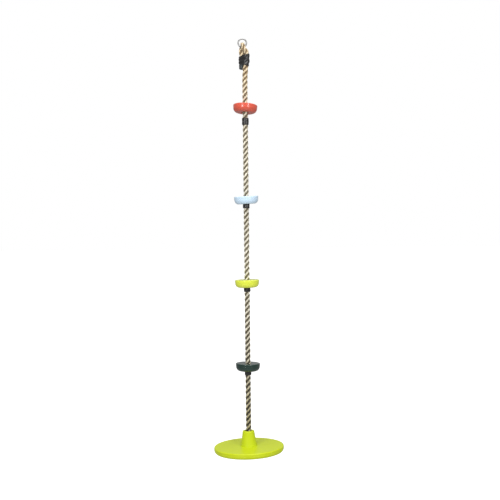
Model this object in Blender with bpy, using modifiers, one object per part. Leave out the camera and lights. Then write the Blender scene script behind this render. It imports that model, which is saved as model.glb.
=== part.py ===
"""Climbing rope with four foot discs and a round disc seat, hung from a steel ring.

Metres, +Z up. The origin is the inner top of the hanging ring, where a hook bears.
The ring's plane is XZ. The rope hangs along -Z, a little to +X of the ring's centre.
"""
import math

import bmesh
import bpy
from mathutils import Euler, Matrix, Vector

# ---- driving dimensions -------------------------------------------------------------
GAP = 0.0003                 # between touching solids
RUNNING_CLEARANCE = 0.0018   # between the rope and a bore that slides or turns on it

RING_WIRE_RADIUS = 0.0030
RING_MEAN_RADIUS = 0.0178

ROPE_RADIUS = 0.0120
EYE_RADIUS = 0.0090          # rope pulled tight where it goes round the ring
EYE_PLAY = 0.0016            # between the eye and the ring's wire
EYE_SKEW = 0.26              # the eye crosses the ring at a slant
EYE_SHIFT = 0.0010           # and a little to +X
ROPE_X = 0.0097              # rope axis beside the ring's centre

SLEEVE_TOP = -0.062          # shrink sleeve round both legs of the eye
SLEEVE_LENGTH = 0.055
SLEEVE_WALL = 0.0012
SLEEVE_PLAY = 0.0009         # room for the legs where they run at a slant
LEG_GAP = 0.0016             # between the two legs inside the sleeve
PAIR_X = (0.0070, 0.0056)    # middle of the two legs, at the split and the sleeve's foot
PAIR_TURN = (-40.0, -52.0)   # the main leg's bearing from the tail there, in degrees
SPLIT_STRAIGHT = 0.006       # both legs run straight this far past the split
TAIL_CAP_LENGTH = 0.011

STOP_COUNT = 4
FIRST_STOP_BOTTOM = -0.3675
STOP_PITCH = 0.3586
STOP_LENGTH = 0.030
STOP_CLAMP_WALL = 0.0012
STOP_SLEEVE_WALL = 0.0010
STOP_END_WALL = 0.0040

DISC_RADIUS = 0.0522
DISC_HEIGHT = 0.033
DISC_WALL = 0.0030
DISC_NEST = 0.012            # how far a disc sits down over its stop
DISC_FLAT_RADIUS = 0.034
DISC_SHOULDER = 0.019        # height at which the side starts to curve in
DISC_RIM_ROUND = 0.0032
DISC_VENT_RADIUS = 0.0016
DISC_WASHER_THICKNESS = 0.0020
RED_DISC_LIFT = 0.032        # how far the top disc is pushed up its rope

SEAT_RADIUS = 0.150
SEAT_THICKNESS = 0.025
SEAT_TOP = -1.747            # height of the seat's sitting face
SEAT_WALL = 0.0032
SEAT_RIM_ROUND = 0.0042
CONE_HEIGHT = 0.0654
CONE_TOP_RADIUS = 0.0256
CONE_FOOT_RADIUS = 0.0355
CONE_FLARE_POWER = 1.15      # 1 is a straight cone
CONE_WALL = 0.0040
CONE_TOP_WALL = 0.0094
CONE_ROUND = 0.0040
SEAT_BORE_CLEARANCE = 0.0026
SEAT_VENT_RADIUS = 0.0020
SEAT_WASHER_THICKNESS = 0.0025
SEAT_WASHER_PLAY = 0.0011
KNOT_RADIUS = 0.0222
KNOT_HALF_HEIGHT = 0.0247
END_CAP_LENGTH = 0.017

# lean of each piece as it hangs, in degrees about X and about Y
DISC_NAMES = ("red", "blue", "lime", "dark_green")
DISC_LEAN = ((-7.0, 4.0), (0.0, -2.7), (0.0, -1.0), (0.0, 1.0))
SEAT_LEAN = (0.0, -1.6)

TURN_STEPS = 32
SEAT_STEPS = 48

# ---- places that follow from them -----------------------------------------------------
RING_CENTRE_Z = RING_WIRE_RADIUS - RING_MEAN_RADIUS
RING_BAR_Z = RING_CENTRE_Z - RING_MEAN_RADIUS
SLEEVE_BOTTOM = SLEEVE_TOP - SLEEVE_LENGTH
SPLIT_Z = (SLEEVE_TOP + SLEEVE_BOTTOM) / 2          # eye above, first span below
STOP_RADIUS = ROPE_RADIUS + GAP + STOP_CLAMP_WALL + GAP + STOP_SLEEVE_WALL
BORE_RADIUS = ROPE_RADIUS + RUNNING_CLEARANCE
RECESS_RADIUS = STOP_RADIUS + 0.0013
RECESS_DEPTH = DISC_NEST + GAP + DISC_WASHER_THICKNESS + GAP
SEAT_BORE_RADIUS = ROPE_RADIUS + SEAT_BORE_CLEARANCE
SEAT_CEILING = CONE_HEIGHT - CONE_TOP_WALL          # roof of the recess, above the sitting face
KNOT_TOP = SEAT_CEILING - GAP - SEAT_WASHER_THICKNESS - 2 * GAP
KNOT_CENTRE_Z = SEAT_TOP + KNOT_TOP - KNOT_HALF_HEIGHT

DISC_COLOURS = {
    "red": (0.72, 0.10, 0.07),
    "blue": (0.42, 0.68, 0.90),
    "lime": (0.62, 0.80, 0.06),
    "dark_green": (0.015, 0.065, 0.05),
}


# ---- helpers --------------------------------------------------------------------------
def clear_scene():
    for ob in list(bpy.data.objects):
        bpy.data.objects.remove(ob, do_unlink=True)


def make_collection(name):
    collection = bpy.data.collections.new(name)
    bpy.context.scene.collection.children.link(collection)
    return collection


def make_material(name, colour, roughness, metallic=0.0):
    material = bpy.data.materials.new(name)
    material.use_nodes = True
    shader = material.node_tree.nodes["Principled BSDF"]
    shader.inputs["Base Color"].default_value = (*colour, 1.0)
    shader.inputs["Roughness"].default_value = roughness
    shader.inputs["Metallic"].default_value = metallic
    return material


def arc(centre_r, centre_z, radius_r, radius_z, start, end, count):
    """Points on an ellipse's arc, angles in degrees from +R towards +Z."""
    points = []
    for i in range(count + 1):
        angle = math.radians(start + (end - start) * i / count)
        points.append((centre_r + radius_r * math.cos(angle),
                       centre_z + radius_z * math.sin(angle)))
    return points


def turned(name, outline, steps, material, collection, matrix=None):
    """A closed outline of (radius, height), turned about Z with a Screw modifier.

    The outline runs down its outer side and up its inner side. One that starts and
    ends on the axis is left open there.
    """
    mesh = bpy.data.meshes.new(name)
    count = len(outline)
    on_axis = outline[0][0] == 0.0 and outline[-1][0] == 0.0
    edges = [(i, i + 1) for i in range(count - 1)]
    if not on_axis:
        edges.append((count - 1, 0))
    mesh.from_pydata([(r, 0.0, z) for r, z in outline], edges, [])
    ob = bpy.data.objects.new(name, mesh)
    collection.objects.link(ob)
    screw = ob.modifiers.new("turn", "SCREW")
    screw.axis = "Z"
    screw.angle = 2 * math.pi
    screw.steps = steps
    screw.render_steps = steps
    screw.use_merge_vertices = True
    screw.merge_threshold = 0.00001
    screw.use_smooth_shade = True
    if matrix is not None:
        ob.matrix_world = matrix
    if material is not None:
        ob.data.materials.append(material)
    return ob


def cutter_of(ob):
    ob.hide_render = True
    ob.display_type = "WIRE"
    return ob


def cut(ob, cutter):
    boolean = ob.modifiers.new("cut", "BOOLEAN")
    boolean.operation = "DIFFERENCE"
    boolean.solver = "EXACT"
    boolean.object = cutter


def cylinder_cutter(name, radius, height, matrix, collection):
    mesh = bpy.data.meshes.new(name)
    bm = bmesh.new()
    bmesh.ops.create_cone(bm, cap_ends=True, segments=10, radius1=radius,
                          radius2=radius, depth=height)
    bm.to_mesh(mesh)
    bm.free()
    ob = bpy.data.objects.new(name, mesh)
    collection.objects.link(ob)
    ob.matrix_world = matrix
    return cutter_of(ob)


def smooth_route(points, spacing):
    """A Catmull-Rom curve through (x, y, z, radius) points, read about every spacing."""
    route = []
    padded = [points[0]] + list(points) + [points[-1]]
    for i in range(1, len(padded) - 2):
        p0, p1, p2, p3 = (Vector(p) for p in padded[i - 1:i + 3])
        count = max(1, round((p2.to_3d() - p1.to_3d()).length / spacing))
        for j in range(count):
            t = j / count
            route.append(0.5 * (2 * p1 + (p2 - p0) * t
                                + (2 * p0 - 5 * p1 + 4 * p2 - p3) * t * t
                                + (3 * p1 - p0 - 3 * p2 + p3) * t * t * t))
    route.append(Vector(points[-1]))
    return route


def squared_ends(route, length=0.001):
    """The same route with a short upright run at each end, so that its faces are level."""
    first, last = route[0], route[-1]
    start = first + Vector((0.0, 0.0, math.copysign(length, route[1].z - first.z), 0.0))
    end = last + Vector((0.0, 0.0, math.copysign(length, route[-2].z - last.z), 0.0))
    return [first, start] + route[1:-1] + [end, last]


def tube(name, route, material, collection):
    """A round tube through (x, y, z, radius) points, with filled ends."""
    curve = bpy.data.curves.new(name, "CURVE")
    curve.dimensions = "3D"
    curve.bevel_depth = ROPE_RADIUS
    curve.bevel_resolution = 4
    curve.use_fill_caps = True
    spline = curve.splines.new("POLY")
    spline.points.add(len(route) - 1)
    for point, place in zip(spline.points, route):
        point.co = (place[0], place[1], place[2], 1.0)
        point.radius = place[3] / ROPE_RADIUS
    ob = bpy.data.objects.new(name, curve)
    collection.objects.link(ob)
    ob.data.materials.append(material)
    return ob


def straight_route(top, bottom):
    """Points down the rope's axis, about three diameters apart."""
    count = max(1, math.ceil((top - bottom) / (6 * ROPE_RADIUS)))
    return [Vector((ROPE_X, 0.0, top + (bottom - top) * i / count, ROPE_RADIUS))
            for i in range(count + 1)]


def lean_matrix(centre_z, lean):
    """Turns a piece modelled about (0, 0, centre_z) and puts it on the rope's axis."""
    turn = Euler((math.radians(lean[0]), math.radians(lean[1]), 0.0)).to_matrix().to_4x4()
    return Matrix.Translation((ROPE_X, 0.0, centre_z)) @ turn


# ---- the ring and the eye ---------------------------------------------------------------
def legs_at(z):
    """Where the main leg and the tail run inside the sleeve, as (x, y) each."""
    share = sleeve_blend(z)
    middle = Vector((PAIR_X[0] + (PAIR_X[1] - PAIR_X[0]) * share, 0.0))
    turn = math.radians(PAIR_TURN[0] + (PAIR_TURN[1] - PAIR_TURN[0]) * share)
    half = Vector((math.cos(turn), math.sin(turn))) * (ROPE_RADIUS + LEG_GAP / 2)
    return middle + half, middle - half


def main_leg(z):
    return legs_at(z)[0]


def tail_leg(z):
    return legs_at(z)[1]


def sleeve_blend(z):
    """0 down to just under the split, 1 at the sleeve's foot, smooth between."""
    start = SPLIT_Z - SPLIT_STRAIGHT
    t = (start - z) / (start - SLEEVE_BOTTOM)
    t = min(1.0, max(0.0, t))
    return t * t * (3 - 2 * t)


def build_ring(material, collection):
    bpy.ops.mesh.primitive_torus_add(major_radius=RING_MEAN_RADIUS,
                                     minor_radius=RING_WIRE_RADIUS,
                                     major_segments=40, minor_segments=12,
                                     location=(0.0, 0.0, RING_CENTRE_Z),
                                     rotation=(math.pi / 2, 0.0, 0.0))
    ring = bpy.context.object
    ring.name = "hanging_ring"
    for holder in list(ring.users_collection):
        holder.objects.unlink(ring)
    collection.objects.link(ring)
    ring.data.shade_smooth()
    ring.data.materials.append(material)


def eye_points():
    """The eye's centreline: up the main leg, over the ring's lowest bar, down the tail."""
    wrap = RING_WIRE_RADIUS + EYE_RADIUS + EYE_PLAY
    below = RING_BAR_Z - wrap * 0.95
    mouth = SLEEVE_TOP + SPLIT_STRAIGHT
    points = []
    for z in (SPLIT_Z, SLEEVE_TOP, mouth):
        leg = main_leg(z)
        points.append((leg.x, leg.y, z, ROPE_RADIUS))
    points.append((EYE_SHIFT + wrap * 0.58, -wrap * 0.92, below, ROPE_RADIUS * 0.94))
    for i in range(7):
        angle = math.radians(180.0 * i / 6)
        points.append((EYE_SHIFT + wrap * EYE_SKEW * math.cos(angle),
                       -wrap * math.cos(angle),
                       RING_BAR_Z + wrap * math.sin(angle), EYE_RADIUS))
    points.append((EYE_SHIFT - wrap * 0.48, wrap * 0.92, below, ROPE_RADIUS * 0.94))
    for z in (mouth, SLEEVE_TOP, SPLIT_Z, SPLIT_Z * 0.6 + SLEEVE_BOTTOM * 0.4,
              SPLIT_Z * 0.25 + SLEEVE_BOTTOM * 0.75, SLEEVE_BOTTOM + GAP):
        leg = tail_leg(z)
        points.append((leg.x, leg.y, z, ROPE_RADIUS))
    return points


def first_span_points():
    points = []
    start = SPLIT_Z - SPLIT_STRAIGHT
    run = start - SLEEVE_BOTTOM
    for z in (SPLIT_Z - GAP, start, start - 0.35 * run, start - 0.7 * run, SLEEVE_BOTTOM):
        leg = main_leg(z)
        points.append((leg.x, leg.y, z, ROPE_RADIUS))
    for drop, share in ((0.020, 0.6), (0.045, 0.1), (0.070, 0.0)):
        place = Vector((ROPE_X, 0.0)).lerp(main_leg(SLEEVE_BOTTOM), share)
        points.append((place.x, place.y, SLEEVE_BOTTOM - drop, ROPE_RADIUS))
    return points


def oval(first, second, radius, z, half_count):
    """A rounded outline at height z round two equal circles."""
    along = (second - first).normalized()
    start = math.atan2(along.y, along.x)
    points = []
    for centre, offset in ((second, -math.pi / 2), (first, math.pi / 2)):
        for i in range(half_count + 1):
            angle = start + offset + math.pi * i / half_count
            points.append((centre.x + radius * math.cos(angle),
                           centre.y + radius * math.sin(angle), z))
    return points


def build_top_sleeve(material, collection):
    """An oval shrink sleeve, lofted round the two legs of the eye."""
    levels = 8
    half_count = 8
    inner_radius = ROPE_RADIUS + SLEEVE_PLAY
    mesh = bpy.data.meshes.new("top_sleeve")
    bm = bmesh.new()
    walls = []
    for radius in (inner_radius + SLEEVE_WALL, inner_radius):
        rings = []
        for i in range(levels + 1):
            z = SLEEVE_TOP - SLEEVE_LENGTH * i / levels
            outline = oval(tail_leg(z), main_leg(z), radius, z, half_count)
            rings.append([bm.verts.new(point) for point in outline])
        walls.append(rings)
    outer, inner = walls
    count = len(outer[0])
    for j in range(count):
        k = (j + 1) % count
        for i in range(levels):
            bm.faces.new((outer[i][j], outer[i + 1][j], outer[i + 1][k], outer[i][k]))
            bm.faces.new((inner[i][j], inner[i][k], inner[i + 1][k], inner[i + 1][j]))
        bm.faces.new((outer[0][j], outer[0][k], inner[0][k], inner[0][j]))
        bm.faces.new((outer[-1][j], inner[-1][j], inner[-1][k], outer[-1][k]))
    bmesh.ops.recalc_face_normals(bm, faces=bm.faces)
    bm.to_mesh(mesh)
    bm.free()
    ob = bpy.data.objects.new("top_sleeve", mesh)
    collection.objects.link(ob)
    ob.data.materials.append(material)


def build_tail_cap(material, collection):
    """The taped end of the rope's tail, just under the sleeve."""
    leg = tail_leg(SLEEVE_BOTTOM)
    radius = ROPE_RADIUS + GAP
    top = -GAP
    outline = [(0.0, top), (radius, top)]
    outline += arc(0.0, top - TAIL_CAP_LENGTH * 0.45, radius, TAIL_CAP_LENGTH * 0.55,
                   0, -90, 5)
    outline[-1] = (0.0, top - TAIL_CAP_LENGTH)
    place = Matrix.Translation((leg.x, leg.y, SLEEVE_BOTTOM))
    turned("tail_cap", outline, 20, material, collection, place)


# ---- stops, discs and washers -------------------------------------------------------------
def stop_bottom(index):
    return FIRST_STOP_BOTTOM - STOP_PITCH * index


def build_stop(index, sleeve_material, clamp_material, collection):
    """A crimped steel clamp on the rope, closed in a black sleeve."""
    bottom = stop_bottom(index)
    neck = ROPE_RADIUS + GAP
    pocket = neck + STOP_CLAMP_WALL + GAP
    round_size = STOP_RADIUS - neck - 0.0012
    outline = [(neck, STOP_LENGTH)]
    outline += arc(STOP_RADIUS - round_size, STOP_LENGTH - round_size,
                   round_size, round_size, 90, 0, 3)
    outline += arc(STOP_RADIUS - round_size, round_size, round_size, round_size, 0, -90, 3)
    outline += [(neck, 0.0), (neck, STOP_END_WALL), (pocket, STOP_END_WALL),
                (pocket, STOP_LENGTH - STOP_END_WALL), (neck, STOP_LENGTH - STOP_END_WALL)]
    place = Matrix.Translation((ROPE_X, 0.0, bottom))
    turned(f"stop_sleeve_{index + 1}", outline, 24, sleeve_material, collection, place)

    low = STOP_END_WALL + GAP
    high = STOP_LENGTH - STOP_END_WALL - GAP
    clamp = [(neck + STOP_CLAMP_WALL, high), (neck + STOP_CLAMP_WALL, low),
             (neck, low), (neck, high)]
    turned(f"stop_clamp_{index + 1}", clamp, 20, clamp_material, collection, place)


def disc_outline():
    """The foot disc's outer skin, bore and stop recess, height 0 at its underside."""
    outline = [(BORE_RADIUS + 0.0010, DISC_HEIGHT)]
    outline += arc(DISC_RADIUS - DISC_RIM_ROUND, DISC_HEIGHT - DISC_RIM_ROUND,
                   DISC_RIM_ROUND, DISC_RIM_ROUND, 90, 0, 3)
    side = DISC_RADIUS - 0.0010
    outline += arc(DISC_FLAT_RADIUS, DISC_SHOULDER, side - DISC_FLAT_RADIUS, DISC_SHOULDER,
                   0, -90, 7)
    outline += [(RECESS_RADIUS + 0.0012, 0.0), (RECESS_RADIUS, 0.0012),
                (RECESS_RADIUS, RECESS_DEPTH), (BORE_RADIUS, RECESS_DEPTH),
                (BORE_RADIUS, DISC_HEIGHT - 0.0010)]
    return outline


def disc_cavity_outline():
    """The hollow inside the foot disc's moulded wall."""
    roof = DISC_HEIGHT - DISC_WALL
    side = DISC_RADIUS - 0.0010 - DISC_WALL
    step = RECESS_DEPTH + DISC_WALL
    outline = [(BORE_RADIUS + DISC_WALL, roof), (DISC_RADIUS - 2 * DISC_WALL, roof),
               (side + 0.0005, roof - DISC_WALL)]
    outline += arc(DISC_FLAT_RADIUS, DISC_SHOULDER, side - DISC_FLAT_RADIUS,
                   DISC_SHOULDER - DISC_WALL, 0, -90, 5)
    outline += [(RECESS_RADIUS + DISC_WALL, DISC_WALL), (RECESS_RADIUS + DISC_WALL, step),
                (BORE_RADIUS + DISC_WALL, step)]
    return outline


def build_foot_disc(index, material, washer_material, collection, cutters):
    name = DISC_NAMES[index]
    lift = RED_DISC_LIFT if index == 0 else 0.0
    lean = math.radians(math.hypot(*DISC_LEAN[index]))
    clear_of_stop = STOP_RADIUS * math.sin(lean)      # a leaning disc's low side
    underside = stop_bottom(index) + STOP_LENGTH - DISC_NEST + clear_of_stop + lift
    web_middle = (RECESS_DEPTH + DISC_HEIGHT) / 2     # the disc leans about here
    place = lean_matrix(underside + web_middle, DISC_LEAN[index])
    place = place @ Matrix.Translation((0.0, 0.0, -web_middle))

    disc = turned(f"foot_disc_{name}", disc_outline(), TURN_STEPS, material, collection, place)
    cavity = turned(f"cavity_{name}", disc_cavity_outline(), TURN_STEPS, None, cutters, place)
    cut(disc, cutter_of(cavity))
    vent_radius = (RECESS_RADIUS + DISC_WALL + DISC_FLAT_RADIUS) / 2
    vent_place = place @ Matrix.Translation((0.0, vent_radius, DISC_WALL / 2))
    cut(disc, cylinder_cutter(f"vent_{name}", DISC_VENT_RADIUS, 2 * DISC_WALL, vent_place,
                              cutters))

    low = DISC_NEST + GAP
    high = low + DISC_WASHER_THICKNESS
    outer = RECESS_RADIUS - 0.0005
    washer = [(outer, high), (outer, low), (BORE_RADIUS, low), (BORE_RADIUS, high)]
    turned(f"disc_washer_{index + 1}", washer, TURN_STEPS, washer_material, collection, place)


# ---- the seat and what holds it -------------------------------------------------------------
def cone_radius(height):
    """The cone's outer radius at a height above the sitting face."""
    share = min(1.0, max(0.0, height / (CONE_HEIGHT - CONE_ROUND)))
    blend = (1.0 - share) ** CONE_FLARE_POWER
    return CONE_TOP_RADIUS + (CONE_FOOT_RADIUS - CONE_TOP_RADIUS) * blend


def seat_outline():
    """The seat's outer skin, bore and knot recess, height 0 at the sitting face."""
    flare_steps = 7
    outline = [(SEAT_BORE_RADIUS + 0.0015, CONE_HEIGHT)]
    outline += arc(CONE_TOP_RADIUS - CONE_ROUND, CONE_HEIGHT - CONE_ROUND,
                   CONE_ROUND, CONE_ROUND, 90, 0, 3)
    for i in range(1, flare_steps + 1):
        height = (CONE_HEIGHT - CONE_ROUND) * (1 - i / flare_steps)
        outline.append((cone_radius(height), height))
    outline += arc(SEAT_RADIUS - SEAT_RIM_ROUND, -SEAT_RIM_ROUND,
                   SEAT_RIM_ROUND, SEAT_RIM_ROUND, 90, 0, 4)
    outline += arc(SEAT_RADIUS - SEAT_RIM_ROUND, SEAT_RIM_ROUND - SEAT_THICKNESS,
                   SEAT_RIM_ROUND, SEAT_RIM_ROUND, 0, -90, 4)
    mouth = CONE_FOOT_RADIUS - CONE_WALL
    outline += [(mouth + 0.0015, -SEAT_THICKNESS), (mouth, 0.0015 - SEAT_THICKNESS)]
    for i in range(flare_steps + 1):
        height = SEAT_CEILING * i / flare_steps
        outline.append((cone_radius(height) - CONE_WALL, height))
    outline += [(SEAT_BORE_RADIUS, SEAT_CEILING), (SEAT_BORE_RADIUS, CONE_HEIGHT - 0.0015)]
    return outline


def seat_cavity_outline():
    """The hollow between the seat plate's two skins."""
    inner = CONE_FOOT_RADIUS + 0.0005
    outer = SEAT_RADIUS - SEAT_WALL
    roof = -SEAT_WALL
    floor = SEAT_WALL - SEAT_THICKNESS
    bevel = SEAT_RIM_ROUND - SEAT_WALL
    return [(inner, roof), (outer - bevel, roof), (outer, roof - bevel),
            (outer, floor + bevel), (outer - bevel, floor), (inner, floor)]


def build_seat(material, washer_material, collection, cutters):
    """The seat leans about the middle of the knot that it rests on."""
    knot_height = KNOT_CENTRE_Z - SEAT_TOP
    place = lean_matrix(KNOT_CENTRE_Z, SEAT_LEAN) @ Matrix.Translation((0.0, 0.0, -knot_height))
    seat = turned("disc_seat", seat_outline(), SEAT_STEPS, material, collection, place)
    cavity = turned("cavity_seat", seat_cavity_outline(), SEAT_STEPS, None, cutters, place)
    cut(seat, cutter_of(cavity))
    vent_place = place @ Matrix.Translation((0.0, SEAT_RADIUS * 0.8,
                                             SEAT_WALL / 2 - SEAT_THICKNESS))
    cut(seat, cylinder_cutter("vent_seat", SEAT_VENT_RADIUS, 2 * SEAT_WALL, vent_place, cutters))

    high = SEAT_CEILING - GAP
    low = high - SEAT_WASHER_THICKNESS
    outer = cone_radius(low) - CONE_WALL - SEAT_WASHER_PLAY
    washer = [(outer, high), (outer, low), (SEAT_BORE_RADIUS, low), (SEAT_BORE_RADIUS, high)]
    turned("seat_washer", washer, TURN_STEPS, washer_material, collection, place)


def build_knot(rope_material, cap_material, collection):
    """The stopper knot under the seat's washer, and the taped end of the rope below it."""
    stub_radius = ROPE_RADIUS * 0.9
    stub_length = 0.004
    steps = 10
    outline = []
    for i in range(steps):
        angle = math.radians(90 - 160 * i / (steps - 1))
        outline.append((KNOT_RADIUS * math.cos(angle), KNOT_HALF_HEIGHT * math.sin(angle)))
    outline[0] = (0.0, KNOT_HALF_HEIGHT)
    stub_top = outline[-1][1]
    outline[-1] = (stub_radius, stub_top)
    stub_low = -KNOT_HALF_HEIGHT - stub_length
    outline += [(stub_radius, stub_low), (0.0, stub_low)]
    place = Matrix.Translation((ROPE_X, 0.0, KNOT_CENTRE_Z))
    turned("end_knot", outline, 20, rope_material, collection, place)

    top = stub_low - GAP
    cap = [(0.0, top), (ROPE_RADIUS, top)]
    cap += arc(0.0, top - END_CAP_LENGTH * 0.7, ROPE_RADIUS, END_CAP_LENGTH * 0.3, 0, -90, 4)
    cap[-1] = (0.0, top - END_CAP_LENGTH)
    turned("rope_end_cap", cap, 20, cap_material, collection, place)


# ---- assembly --------------------------------------------------------------------------------
def build():
    clear_scene()
    parts = make_collection("climbing_rope_swing")
    cutters = make_collection("cutters")

    steel = make_material("galvanised_steel", (0.56, 0.56, 0.55), 0.35, 1.0)
    rope = make_material("laid_rope", (0.55, 0.46, 0.31), 0.85)
    black = make_material("black_sleeve", (0.02, 0.02, 0.022), 0.45)
    nylon = make_material("nylon", (0.80, 0.79, 0.74), 0.5)
    lime = make_material("seat_lime", DISC_COLOURS["lime"], 0.42)

    build_ring(steel, parts)
    tube("rope_eye", squared_ends(smooth_route(eye_points(), 0.007)), rope, parts)
    build_top_sleeve(black, parts)
    build_tail_cap(black, parts)

    # spans of the rope meet inside the stops, where the sleeve hides the joint
    middle = [stop_bottom(i) + STOP_LENGTH / 2 for i in range(STOP_COUNT)]
    knot_crown = KNOT_CENTRE_Z + KNOT_HALF_HEIGHT
    first = squared_ends(smooth_route(first_span_points(), 0.012))
    first += straight_route(first[-1].z, middle[0] + GAP)[1:]
    tube("rope_span_1", first, rope, parts)
    for i, (top, bottom) in enumerate(zip(middle, middle[1:] + [knot_crown])):
        tube(f"rope_span_{i + 2}", straight_route(top, bottom + GAP), rope, parts)

    for i in range(STOP_COUNT):
        name = DISC_NAMES[i]
        plastic = make_material(f"disc_{name}", DISC_COLOURS[name], 0.28)
        build_stop(i, black, steel, parts)
        build_foot_disc(i, plastic, nylon, parts, cutters)

    build_seat(lime, steel, parts, cutters)
    build_knot(rope, black, parts)


build()
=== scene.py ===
import math

import bmesh
import bpy
from mathutils import Euler, Matrix, Vector


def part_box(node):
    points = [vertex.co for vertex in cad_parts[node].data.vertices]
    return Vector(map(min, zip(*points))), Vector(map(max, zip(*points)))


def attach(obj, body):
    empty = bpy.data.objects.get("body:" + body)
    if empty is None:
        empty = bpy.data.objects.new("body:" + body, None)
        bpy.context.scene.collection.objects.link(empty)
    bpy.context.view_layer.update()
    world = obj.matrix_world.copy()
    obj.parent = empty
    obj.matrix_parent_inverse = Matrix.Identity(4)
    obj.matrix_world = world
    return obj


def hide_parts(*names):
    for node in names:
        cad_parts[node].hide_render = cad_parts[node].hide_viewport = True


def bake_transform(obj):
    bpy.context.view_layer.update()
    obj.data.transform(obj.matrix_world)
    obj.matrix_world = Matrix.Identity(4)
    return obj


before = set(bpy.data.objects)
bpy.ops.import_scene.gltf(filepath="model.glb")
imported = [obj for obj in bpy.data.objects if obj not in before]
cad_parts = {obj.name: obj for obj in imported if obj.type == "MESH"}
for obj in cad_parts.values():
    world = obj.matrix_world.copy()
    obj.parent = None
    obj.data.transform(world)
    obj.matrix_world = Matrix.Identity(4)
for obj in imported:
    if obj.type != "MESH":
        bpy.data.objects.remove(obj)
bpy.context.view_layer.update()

rope = {
    "radius": 0.0120,
    "eyeRadius": 0.0090,       # pulled tight round the ring
    "axisX": 0.0097,           # beside the ring's centre
    "pitch": 0.0705,           # one turn of the lay
    "strands": 3,
    "yarns": 9,
    "yarnRelief": 0.085,       # share of the strand's radius
    "yarnPitch": 0.047,
    "step": 0.0021,
    "gap": 0.0003,
    "grip": 0.0004,            # how far a sleeve's inside bites into the strands
    "eyePlay": 0.0016,
    "eyeSkew": 0.26,           # the eye crosses the ring at a slant
    "eyeShift": 0.0010,
}
ring = {"wire": 0.0030, "mean": 0.0178, "around": 160, "across": 28,
        "weldAt": 152, "weldWidth": 0.0022, "weldRise": 0.10,   # degrees, m, share of wire
        "seamWidth": 0.0006, "seamDip": 0.07}
sleeve = {
    "top": -0.062, "length": 0.055, "play": 0.0009, "wall": 0.0012,
    "legGap": 0.0016, "straight": 0.006,
    "pairX": (0.0070, 0.0056), "pairTurn": (-40.0, -52.0),
    "relief": 0.0029, "squeeze": 0.88, "slantTop": 0.011, "slantFoot": 0.012,
    "lip": 0.0009, "rounding": 0.05, "sag": 0.0016, "levels": 44,
}
stops = {"bottoms": [-0.3675 - 0.3586 * i for i in range(4)], "length": 0.030, "radius": 0.0148,
         "relief": 0.0009, "waist": 0.0002, "lip": 0.0010, "rounding": 0.14,
         "around": 96, "levels": 30}
ringCentreZ = ring["wire"] - ring["mean"]
ringBarZ = ringCentreZ - ring["mean"]
sleeveFoot = sleeve["top"] - sleeve["length"]
splitZ = (sleeve["top"] + sleeveFoot) / 2


# camera
def aimCamera(settings):
    data = bpy.data.cameras.new("camera")
    data.lens = settings["lens"]
    data.sensor_width = 36.0
    data.shift_y = settings["shift"]
    camera = bpy.data.objects.new("camera", data)
    bpy.context.scene.collection.objects.link(camera)
    turn = Matrix.Rotation(math.radians(90 + settings["pitch"]), 4, "X")
    roll = Matrix.Rotation(math.radians(settings["roll"]), 4, "Z")
    camera.matrix_world = Matrix.Translation(settings["place"]) @ turn @ roll
    bpy.context.scene.camera = camera


aimCamera({"lens": 68.1, "place": (0.0254, -4.07, -0.755), "pitch": 0.0,
           "roll": -0.61, "shift": -0.07})


# node helpers
def addNode(tree, kind, inputs=None, **settings):
    made = tree.nodes.new(kind)
    for key, value in settings.items():
        setattr(made, key, value)
    for key, value in (inputs or {}).items():
        socket = made.inputs[key]
        if isinstance(value, bpy.types.NodeSocket):
            tree.links.new(value, socket)
        else:
            socket.default_value = value
    return made


def sums(tree, operation, first, second=0.0, third=None):
    inputs = {0: first, 1: second}
    if third is not None:
        inputs[2] = third
    return addNode(tree, "ShaderNodeMath", inputs, operation=operation).outputs[0]


def newTree(name, kind, inputs, outputs):
    tree = bpy.data.node_groups.new(name, kind)
    for label, socketKind, value in inputs:
        socket = tree.interface.new_socket(label, in_out="INPUT", socket_type=socketKind)
        if value is not None:
            socket.default_value = value
    for label, socketKind in outputs:
        tree.interface.new_socket(label, in_out="OUTPUT", socket_type=socketKind)
    start = tree.nodes.new("NodeGroupInput")
    end = tree.nodes.new("NodeGroupOutput")
    return tree, start.outputs, end


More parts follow.
